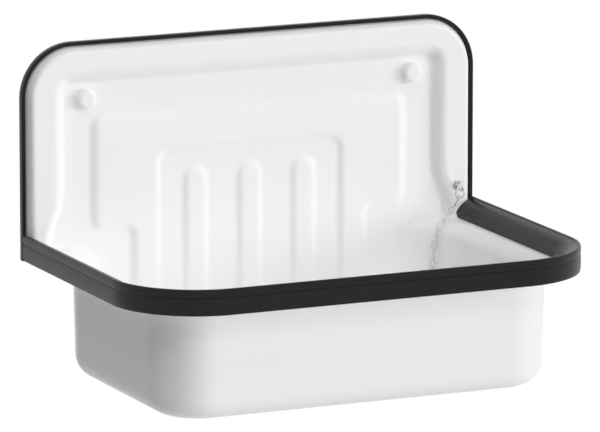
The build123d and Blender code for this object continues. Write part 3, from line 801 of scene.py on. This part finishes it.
def eyebolt_mesh():
    """Threaded shank, neck and closed eye."""
    front = BORDER_FRONT + ROSETTE_THICK
    radius = EYE_SHANK / 2
    length = front - EYE_SHANK_BACK

    def cut_thread(reach, height, turn):
        if not 0.9 < height < length - 1.5 or reach < radius - 0.01:
            return reach
        return reach - EYE_THREAD_DEPTH * thread_wave(height, turn, EYE_THREAD_PITCH)

    wire = EYE_WIRE / 2
    top = length + EYE_NECK - wire
    side = [(radius, height) for height in np.arange(0.7, length - 0.3, EYE_THREAD_PITCH / 10)]
    neck = rounded_outline([(2.4, length + 0.05, 0.4), (1.5, length + 1.6, 1.2), (1.5, top, 1.5),
                            (2.1, top + 0.9, 0)])
    profile = [(0, 0), (radius - 0.6, 0)] + side + neck + [(0, top + 1.2)]
    shank = turned(profile, from_wall(EYE_X, EYE_Z, EYE_SHANK_BACK), 48, cut_thread)
    eye_front = front + EYE_NECK + EYE_LOOP / 2
    eye = circle((EYE_X, -eye_front, EYE_Z), (EYE_LOOP + EYE_WIRE) / 2, (0, 1, 0), (0, 0, 1), 72)
    return make_mesh("eyebolt", *merged(shank, tube(eye, wire, 20, closed=True)), 35)


def nut_mesh():
    """Hexagon nut, chamfered on both faces."""
    apothem = NUT_ACROSS_FLATS / 2
    bore = EYE_SHANK / 2 + 0.1
    widest = apothem / cos(pi / 6)

    def six_sides(reach, height, turn):
        if reach < bore + 0.5:
            return reach
        return min(reach, apothem / cos((turn + pi / 6) % (pi / 3) - pi / 6))

    profile = [(bore, 0.4), (bore + 0.4, 0), (apothem - 0.1, 0), (widest, 0.5), (widest, NUT_THICK - 0.5),
               (apothem - 0.1, NUT_THICK), (bore + 0.4, NUT_THICK), (bore, NUT_THICK - 0.4)]
    place = from_wall(EYE_X, EYE_Z, SEAL_BACK - NUT_THICK)
    return make_mesh("eyebolt_hexagon_nut", *turned(profile, place, 96, six_sides), 20)


def washer_mesh(name, thick, front, edge_drop):
    """Washer round the eye bolt. Its outer edge is rounded by edge_drop."""
    bore = EYE_SHANK / 2 + 0.1
    corners = [(bore, 0, 0.1), (ROSETTE / 2, 0, 0.1), (ROSETTE / 2, thick, edge_drop), (bore, thick, 0.15)]
    return lathe(name, corners, from_wall(EYE_X, EYE_Z, front))


# Chain and rings

def ring_mesh(name, centre, one, other):
    return make_mesh(name, *tube(circle(centre, RING_RADIUS, one, other, 60), RING_WIRE / 2, 16, True), 60)


def natural_spline(points):
    """Smooth curve through points: a function of the distance along the runs between them."""
    points = np.array(points, float)
    runs = np.linalg.norm(np.diff(points, axis=0), axis=1)
    at = np.concatenate([[0], np.cumsum(runs)])
    count = len(points)
    system = np.eye(count)
    target = np.zeros_like(points)
    for k in range(1, count - 1):
        system[k, k - 1:k + 2] = runs[k - 1], 2 * (runs[k - 1] + runs[k]), runs[k]
        target[k] = 6 * ((points[k + 1] - points[k]) / runs[k] - (points[k] - points[k - 1]) / runs[k - 1])
    bend = np.linalg.solve(system, target)

    def curve(distance):
        k = int(np.clip(np.searchsorted(at, distance) - 1, 0, count - 2))
        h = runs[k]
        ahead = distance - at[k]
        left = h - ahead
        return (bend[k] * left ** 3 + bend[k + 1] * ahead ** 3) / (6 * h) + (
            points[k] / h - bend[k] * h / 6) * left + (points[k + 1] / h - bend[k + 1] * h / 6) * ahead

    return curve, at[-1]


def chain_stations():
    """Points a link apart along the chain, from the anchor ring to the ring of the plug."""
    anchor_end = ANCHOR_CENTRE + ANCHOR_PULL * INSIDE_RING
    plug_end = PLUG_RING_CENTRE + np.array((INSIDE_RING, 0, 0))
    floor = BOWL_UNDERSIDE + SHEET + 3.4
    curve, total = natural_spline([
        anchor_end, anchor_end + ANCHOR_PULL * CHAIN_LEAD,
        (222, -26, -9.5), (212.5, -28, -15), (204.5, -28.5, -24), (200.5, -28.5, -40),
        (198.5, -29, -64), (197.5, -30, -92), (195.5, -33, -117), (187, -42, floor + 5),
        (170, -54, floor), (146, -76, floor), (118, -84, floor), (90, -104, floor),
        (62, -119, floor), (40, -125, floor + 1.5), plug_end + (CHAIN_LEAD, 0, 0), plug_end,
    ])
    line = np.array([curve(distance) for distance in np.linspace(0, total, 2000)])
    gone = np.concatenate([[0], np.cumsum(np.linalg.norm(np.diff(line, axis=0), axis=1))])
    count = round(gone[-1] / LINK_PITCH)
    return np.stack([np.interp(np.linspace(0, gone[-1], count + 1), gone, line[:, k]) for k in range(3)], 1)


def link_loop(steps=44):
    """Centre line of one teardrop loop above the waist, across the front."""
    root = WAIST_HALF - CHAIN_WIRE / 2
    middle = (root + LINK_REACH) / 2
    path = []
    for turn in np.linspace(0, 2 * pi, steps + 1):
        half = abs(cos(turn / 2)) * cos(turn / 2)
        across = 1.45 * LOOP_RADIUS * sin(turn) * sin(turn / 2) ** 1.6 + CHAIN_WIRE / 2 * half
        path.append((across, 0, middle - (LINK_REACH - root) / 2 * cos(turn)))
    return np.array(path)


def link_winding(steps=20, turns=3):
    """Centre line of the wire wound round the waist, its ends tucked in."""
    path = []
    for share in np.linspace(0, 1, steps * turns + 1):
        turn = 2 * pi * turns * share
        radius = WINDING_RADIUS - WINDING_TUCK * max(0, 1 - 8 * min(share, 1 - share))
        height = (2 * share - 1) * (WAIST_HALF - WINDING_WIRE / 2)
        path.append((radius * cos(turn), radius * sin(turn), height))
    return np.array(path)


def chain_mesh():
    """Links hooked one in the next, each a wire with two loops and a wound waist."""
    upper = link_loop()
    lower = np.stack([upper[:, 1], upper[:, 0], -upper[:, 2]], 1)
    core = np.array([(0, 0, -WAIST_HALF), (0, 0, WAIST_HALF)])
    wires = [(upper, CHAIN_WIRE / 2), (lower, CHAIN_WIRE / 2), (link_winding(), WINDING_WIRE / 2),
             (core, WAIST_CORE)]
    stations = chain_stations()
    parts = []
    for number, (start, end) in enumerate(zip(stations, stations[1:])):
        along = end - start
        along /= np.linalg.norm(along)
        twist = min(1, number / TWISTED_LINKS)
        turn = np.array((1, 0, 0)) * (1 - twist) + np.array((0.4, -0.6, 1.0)) * twist
        across = turn - along * turn.dot(along)
        across /= np.linalg.norm(across)
        frame_axes = np.stack([across, np.cross(along, across), along])
        for path, radius in wires:
            parts.append(tube((start + end) / 2 + path @ frame_axes, radius, 10))
    return make_mesh("plug_chain_links", *merged(*parts), 50)


# Waste and plug

def strainer_mesh():
    """Pressed dish with the plug's seat and a ring of holes."""
    cup = STRAINER_CUP
    lip = STRAINER_LIP
    wall = STRAINER_WALL
    low = -STRAINER_DEPTH
    dish = lathe("strainer_dish", [
        (0, low, 0), (cup, low, 2.4), (cup, -3, 1.5), (cup + 3, 0, 1.5), (lip, 0, 0.5), (lip, wall, 0.9),
        (cup + 2.4, wall, 1.2), (cup - wall, -2.4, 1.2), (cup - wall, low + wall, 1.4), (0, low + wall, 0),
    ], upright(STRAINER_SEAT), 120)
    bottom = low - 3
    top = low + 4
    cutters = []
    for number in range(STRAINER_HOLES):
        turn = 2 * pi * number / STRAINER_HOLES
        axis = upright(STRAINER_SEAT, STRAINER_HOLE_RING * cos(turn),
                       WASTE_Y + STRAINER_HOLE_RING * sin(turn))
        cutters.append(lathe("hole", rod(STRAINER_HOLE / 2, bottom, top), axis, 40))
    cutters.append(lathe("hole", rod(SCREW_HOLE, bottom, top), upright(STRAINER_SEAT), 40))
    return combined(dish, cutters, "DIFFERENCE")


def gasket_mesh(name, outer, level):
    half = WASTE_HOLE / 2
    thick = GASKET_THICK
    corners = [(half, 0, 0.4), (outer, 0, 0.4), (outer, thick, 0.4), (half, thick, 0.4)]
    return lathe(name, corners, upright(level), 96)


def waste_body_mesh():
    """Tail under the bowl: flange, funnel, bridge for the screw and outside thread."""
    start = THREAD_LOW + 0.8
    end = THREAD_HIGH - 0.4

    def cut_thread(reach, height, turn):
        if reach < TAIL_RADIUS - 0.4 or not start < height < end:
            return reach
        fade = min(1, (height - start) / THREAD_FADE, (end - height) / THREAD_FADE)
        return reach - THREAD_DEPTH * fade * thread_wave(height, turn, THREAD_PITCH)

    threaded = [(TAIL_RADIUS, height) for height in np.arange(THREAD_LOW + 0.6, THREAD_HIGH - 0.1, 0.25)]
    shoulder = rounded_outline([
        (TAIL_RADIUS, THREAD_HIGH, 0), (26.4, -9.75, 0.8), (26.4, -7.5, 2), (BODY_FLANGE, -3.5, 1.2),
        (BODY_FLANGE, 0, 0.5), (23.8, 0, 0.6), (23.8, -5, 1), (TAIL_BORE, THREAD_HIGH, 3),
        (TAIL_BORE, THREAD_LOW, 0.4), (23.3, THREAD_LOW, 0.2),
    ])
    body = make_mesh("waste_tail", *turned(threaded + shoulder, upright(BODY_TOP), 144, cut_thread), 35)
    low = BODY_TOP - BRIDGE_DROP
    high = 2 * BRIDGE_HALF_HEIGHT
    bridge = box_mesh("bridge", (0, WASTE_Y, low + BRIDGE_HALF_HEIGHT), (21, 3.5, BRIDGE_HALF_HEIGHT))
    hub = lathe("hub", rod(6, 0, high, 0.4), upright(low), 60)
    pilot = lathe("pilot", rod(SCREW_RADIUS, -1, high + 1), upright(low), 40)
    return combined(combined(body, [bridge, hub], "UNION"), [pilot], "DIFFERENCE")


def waste_screw_mesh():
    """Slotted centre screw, threaded where it enters the bridge."""
    seat = STRAINER_SEAT - STRAINER_DEPTH + STRAINER_WALL
    length = seat - (BODY_TOP - BRIDGE_DROP) + 2

    def cut_thread(reach, height, turn):
        if reach < SCREW_RADIUS - 0.01 or not 0.8 - length < height < -0.5 * length:
            return reach
        return reach - SCREW_THREAD_DEPTH * thread_wave(height, turn, SCREW_PITCH)

    shank = [(SCREW_RADIUS, height) for height in np.arange(0.6 - length, -0.2, 0.1)]
    head = rounded_outline([
        (SCREW_RADIUS, 0, 0), (SCREW_HEAD, 0, 0.3), (SCREW_HEAD, SCREW_HEAD_THICK, 1.2),
    ], 6)[1:]
    profile = [(0, -length), (2.4, -length)] + shank + head + [(0, SCREW_HEAD_THICK)]
    screw = make_mesh("slotted_screw", *turned(profile, upright(seat), 48, cut_thread), 35)
    slot = box_mesh("slot", (0, WASTE_Y, seat + SCREW_HEAD_THICK), (SCREW_HEAD + 1, 0.8, 1.2))
    return combined(screw, [slot], "DIFFERENCE", 35)


def plug_mesh():
    """Tapered rubber plug, hollow below, with its lip over the rim of the dish."""
    bore = 2.1
    hollow = 16.4
    seated = 21.4
    lip = 27.0
    return lathe("rubber_plug", [
        (bore, -5, 0), (hollow, -5, 2), (hollow, -8, 0.6), (19.4, -8, 1.2), (seated, -3.5, 2),
        (seated, 0.3, 0.6), (lip, 0.3, 0.6), (lip, 1.3, 0.8), (25, 4, 1.6), (bore, 4, 0.3),
    ], upright(PLUG_SEAT), 120)


def eyelet_mesh():
    """Metal eye with its washer head, set in the plug."""
    pin = 2.0
    head = 6.5
    neck = 1.6
    stem = turned(rounded_outline([
        (0, -5, 0), (pin, -5, 0.4), (pin, 3.9, 0), (head, 4.02, 0.3), (head, 5.6, 0.9), (neck, 5.6, 1.0),
        (neck, 6.2, 0), (0, 6.2, 0),
    ]), upright(PLUG_SEAT), 60)
    centre = (0, WASTE_Y, PLUG_SEAT + PLUG_EYE_HEIGHT)
    eye = circle(centre, (EYE_LOOP + EYE_WIRE) / 2, (1, 0, 0), (0, 0, 1), 72)
    return make_mesh("plug_eye", *merged(stem, tube(eye, EYE_WIRE / 2, 20, closed=True)), 35)


# Materials

def add_noise(tree, scale, detail=4):
    """Noise in object space."""
    place = tree.nodes.new("ShaderNodeTexCoord")
    noise = tree.nodes.new("ShaderNodeTexNoise")
    noise.inputs["Scale"].default_value = scale
    noise.inputs["Detail"].default_value = detail
    tree.links.new(place.outputs["Object"], noise.inputs["Vector"])
    return noise


def add_roughness(tree, noise, shader, low, high):
    """Noise mapped to a range of roughness."""
    spread = tree.nodes.new("ShaderNodeMapRange")
    for socket, value in (("From Min", 0.3), ("From Max", 0.7), ("To Min", low), ("To Max", high)):
        spread.inputs[socket].default_value = value
    tree.links.new(noise.outputs["Fac"], spread.inputs["Value"])
    tree.links.new(spread.outputs["Result"], shader.inputs["Roughness"])


def add_colour(tree, noise, shader, dark, light):
    """Noise as a slight drift between two colours."""
    ramp = tree.nodes.new("ShaderNodeValToRGB")
    for element, position, colour in zip(ramp.color_ramp.elements, (0.3, 0.7), (dark, light)):
        element.position = position
        element.color = (*colour, 1)
    tree.links.new(noise.outputs["Fac"], ramp.inputs["Fac"])
    tree.links.new(ramp.outputs["Color"], shader.inputs["Base Color"])


def add_bump(tree, noise, shader, strength, distance):
    bump = tree.nodes.new("ShaderNodeBump")
    bump.inputs["Strength"].default_value = strength
    bump.inputs["Distance"].default_value = distance
    tree.links.new(noise.outputs["Fac"], bump.inputs["Height"])
    tree.links.new(bump.outputs["Normal"], shader.inputs["Normal"])


def make_material(name, slot, dark, light, scale, roughness, fine_scale, bump=None, settings=()):
    """Material whose colour and roughness drift over the surface.

    roughness is a range, bump is (scale, detail, strength, distance), settings are more sockets.
    """
    material = bpy.data.materials.new(name)
    material.use_nodes = True
    material["slot"] = slot
    tree = material.node_tree
    shader = tree.nodes["Principled BSDF"]
    add_colour(tree, add_noise(tree, scale), shader, dark, light)
    add_roughness(tree, add_noise(tree, fine_scale), shader, *roughness)
    if bump is not None:
        add_bump(tree, add_noise(tree, *bump[:2]), shader, *bump[2:])
    for socket, value in settings:
        shader.inputs[socket].default_value = value
    return material


def metal_material(name, slot, colour, rough):
    light = tuple(min(1, value * 1.05) for value in colour)
    return make_material(name, slot, colour, light, 120, (rough, rough + 0.1), 500,
                         (2500, 2, 0.08, 0.00005), [("Metallic", 1)])


enamel = make_material("white_enamel", "enamel", (0.885, 0.885, 0.88), (0.90, 0.90, 0.895), 9,
                       (0.29, 0.36), 60, settings=[("IOR", 1.5)])
trim = make_material("black_satin_plastic", "black_trim", (0.003, 0.003, 0.0033), (0.005, 0.005, 0.0054),
                     40, (0.30, 0.38), 220, (1500, 3, 0.12, 0.0001), [("Specular IOR Level", 0.27)])
white_plastic = make_material("white_moulded_plastic", "white_plastic", (0.885, 0.885, 0.878),
                              (0.90, 0.90, 0.893), 30, (0.30, 0.38), 150, (900, 3, 0.08, 0.0001))
chrome = metal_material("bright_chrome", "chrome", (0.74, 0.745, 0.75), 0.10)
zinc = metal_material("zinc_plated_steel", "zinc_steel", (0.55, 0.55, 0.53), 0.32)
stainless = metal_material("satin_stainless", "stainless", (0.62, 0.62, 0.61), 0.28)
rubber = make_material("black_rubber_matte", "black_rubber", (0.022, 0.022, 0.022), (0.034, 0.034, 0.034),
                       90, (0.62, 0.75), 300, (1800, 3, 0.2, 0.0001))
by_slot = {material["slot"]: material
           for material in (enamel, trim, white_plastic, chrome, zinc, stainless, rubber)}

add_object("basin_shell_sheet", basin_mesh(), enamel, "basin_shell")
add_object("rim_profile", rim_mesh(), trim, "rim_trim")
add_object("splash_edge_strip", strip_mesh(), trim, "splash_edge_trim")
add_object("fixing_collar_pair", collars_mesh(), white_plastic, "fixing_collars")
add_object("fixing_cover_left", cap_mesh(-1), white_plastic, "fixing_cap_left", "cap_left")
add_object("fixing_cover_right", cap_mesh(1), white_plastic, "fixing_cap_right", "cap_right")
add_object("eyebolt", eyebolt_mesh(), chrome, "chain_eyebolt")
add_object("eyebolt_rosette", washer_mesh("eyebolt_rosette", ROSETTE_THICK, BORDER_FRONT, 0.9), chrome,
           "chain_rosette")
add_object("eyebolt_washer", washer_mesh("eyebolt_washer", SEAL_THICK, SEAL_BACK, 0.4), rubber,
           "eyebolt_seal")
add_object("eyebolt_hexagon_nut", nut_mesh(), zinc, "eyebolt_nut")
add_object("anchor_ring", ring_mesh("anchor_ring", ANCHOR_CENTRE, (1, 0, 0), (0, 0, 1)), chrome,
           "chain_anchor_ring")
add_object("plug_pull_ring", ring_mesh("plug_pull_ring", PLUG_RING_CENTRE, (1, 0, 0), (0, 1, 0)), chrome,
           "plug_ring", "plug")
chain = add_object("plug_chain_links", chain_mesh(), chrome, "plug_chain", None)
tuple(to_frame((172, -60, -138)))
tuple(to_frame((11, -125, -138)))
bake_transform(chain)
add_object("plug_eye", eyelet_mesh(), chrome, "plug_eyelet", "plug")
add_object("rubber_plug", plug_mesh(), rubber, "plug_body", "plug")
add_object("strainer_dish", strainer_mesh(), stainless, "waste_strainer")
add_object("gasket_upper", gasket_mesh("gasket_upper", 34, BOWL_UNDERSIDE + SHEET - DISH_DEPTH), rubber,
           "waste_gasket_upper")
add_object("gasket_lower", gasket_mesh("gasket_lower", 35, BODY_TOP), rubber, "waste_gasket_lower")
add_object("waste_tail", waste_body_mesh(), white_plastic, "waste_body")
add_object("slotted_screw", waste_screw_mesh(), stainless, "waste_screw")

for entry in frame["record"]["subparts"]:
    node = frame["nodes"][entry["node"]]
    node.data.materials.clear()
    node.data.materials.append(by_slot[entry["material_slot"]])


# Camera, floor, backdrop and light

def towards(azimuth, elevation):
    """Direction from the sink, in degrees right of its front and above it."""
    turn = radians(azimuth)
    rise = radians(elevation)
    return Vector((sin(turn) * cos(rise), -cos(turn) * cos(rise), sin(rise)))


def add_camera():
    """The photograph's view: a long lens, from the front, left and a little above."""
    aim = Vector((-6.21, -144.90, 25.16 - FIXING_HEIGHT)) * MM
    away = towards(-24.281, 11.467)
    distance = 7101.7 * MM
    camera = bpy.data.objects.new("camera", bpy.data.cameras.new("camera"))
    camera.data.lens = 418.7
    camera.data.sensor_width = 36
    camera.location = aim + away * distance
    camera.rotation_euler = (-away).to_track_quat("-Z", "Y").to_euler()
    camera.data.clip_end = 30
    bpy.context.scene.collection.objects.link(camera)
    bpy.context.scene.camera = camera


def seen_background(tree):
    """1 for the camera's rays and for reflected and refracted ones, which all see the white."""
    path = tree.nodes.new("ShaderNodeLightPath")
    seen = path.outputs["Is Camera Ray"]
    for kind in ("Is Glossy Ray", "Is Transmission Ray"):
        either = tree.nodes.new("ShaderNodeMath")
        either.operation = "MAXIMUM"
        tree.links.new(seen, either.inputs[0])
        tree.links.new(path.outputs[kind], either.inputs[1])
        seen = either.outputs["Value"]
    return seen


def mix_by_ray(tree, output, unseen, seen):
    """Shows one shader to the camera and in reflections, and another to everything else."""
    out = tree.nodes.new(output)
    mix = tree.nodes.new("ShaderNodeMixShader")
    tree.links.new(seen_background(tree), mix.inputs["Fac"])
    tree.links.new(unseen.outputs[0], mix.inputs[1])
    tree.links.new(seen.outputs[0], mix.inputs[2])
    tree.links.new(mix.outputs["Shader"], out.inputs["Surface"])


def white_backdrop_material():
    """Pale stage that the camera and reflections see as white, and that takes shadows."""
    material = bpy.data.materials.new("pale_stage")
    material.use_nodes = True
    tree = material.node_tree
    tree.nodes.clear()
    white = tree.nodes.new("ShaderNodeEmission")
    pale = tree.nodes.new("ShaderNodeBsdfDiffuse")
    pale.inputs["Color"].default_value = (0.6, 0.6, 0.6, 1)
    mix_by_ray(tree, "ShaderNodeOutputMaterial", pale, white)
    return material


def add_floor():
    """Plain pale floor, 0.9 m below the wall fixings."""
    size = 6.0
    level = -0.9
    mesh = bpy.data.meshes.new("floor")
    corners = [(-size, -size, level), (size, -size, level), (size, size, level), (-size, size, level)]
    mesh.from_pydata(corners, [], [(0, 1, 2, 3)])
    floor = bpy.data.objects.new("floor", mesh)
    mesh.materials.append(white_backdrop_material())
    bpy.context.scene.collection.objects.link(floor)


def add_sun(name, azimuth, elevation, spread, energy, shadow=True):
    """Distant light from a direction seen from the sink, with no highlight of its own."""
    light = bpy.data.lights.new(name, "SUN")
    light.angle = radians(spread)
    light.energy = energy
    light.use_shadow = shadow
    lamp = bpy.data.objects.new(name, light)
    lamp.rotation_euler = (-towards(azimuth, elevation)).to_track_quat("-Z", "Y").to_euler()
    lamp.visible_glossy = False
    bpy.context.scene.collection.objects.link(lamp)


def set_world():
    """White to the camera and in reflections, a faint grey light for everything else."""
    world = bpy.data.worlds.new("studio")
    bpy.context.scene.world = world
    world.use_nodes = True
    tree = world.node_tree
    tree.nodes.clear()
    backgrounds = []
    for strength in (0.1, 1.0):
        background = tree.nodes.new("ShaderNodeBackground")
        background.inputs["Color"].default_value = (1, 1, 1, 1)
        background.inputs["Strength"].default_value = strength
        backgrounds.append(background)
    mix_by_ray(tree, "ShaderNodeOutputWorld", *backgrounds)


add_camera()
add_floor()
set_world()
add_sun("key_right", 45, 10, 20, 0.67)
add_sun("key_far_right", 60, 10, 20, 0.60)
add_sun("front_high", 0, 40, 20, 0.47)
add_sun("top", 0, 85, 60, 0.40)
add_sun("top_left", -60, 65, 40, 0.47)
add_sun("back", 180, 6, 6, 1.2)
add_sun("fill_front", 0, 0, 20, 0.51, shadow=False)
add_sun("fill_top", 0, 80, 20, 0.32, shadow=False)
add_sun("fill_low", 45, -40, 20, 0.67, shadow=False)
bpy.context.scene.view_settings.view_transform = "Standard"
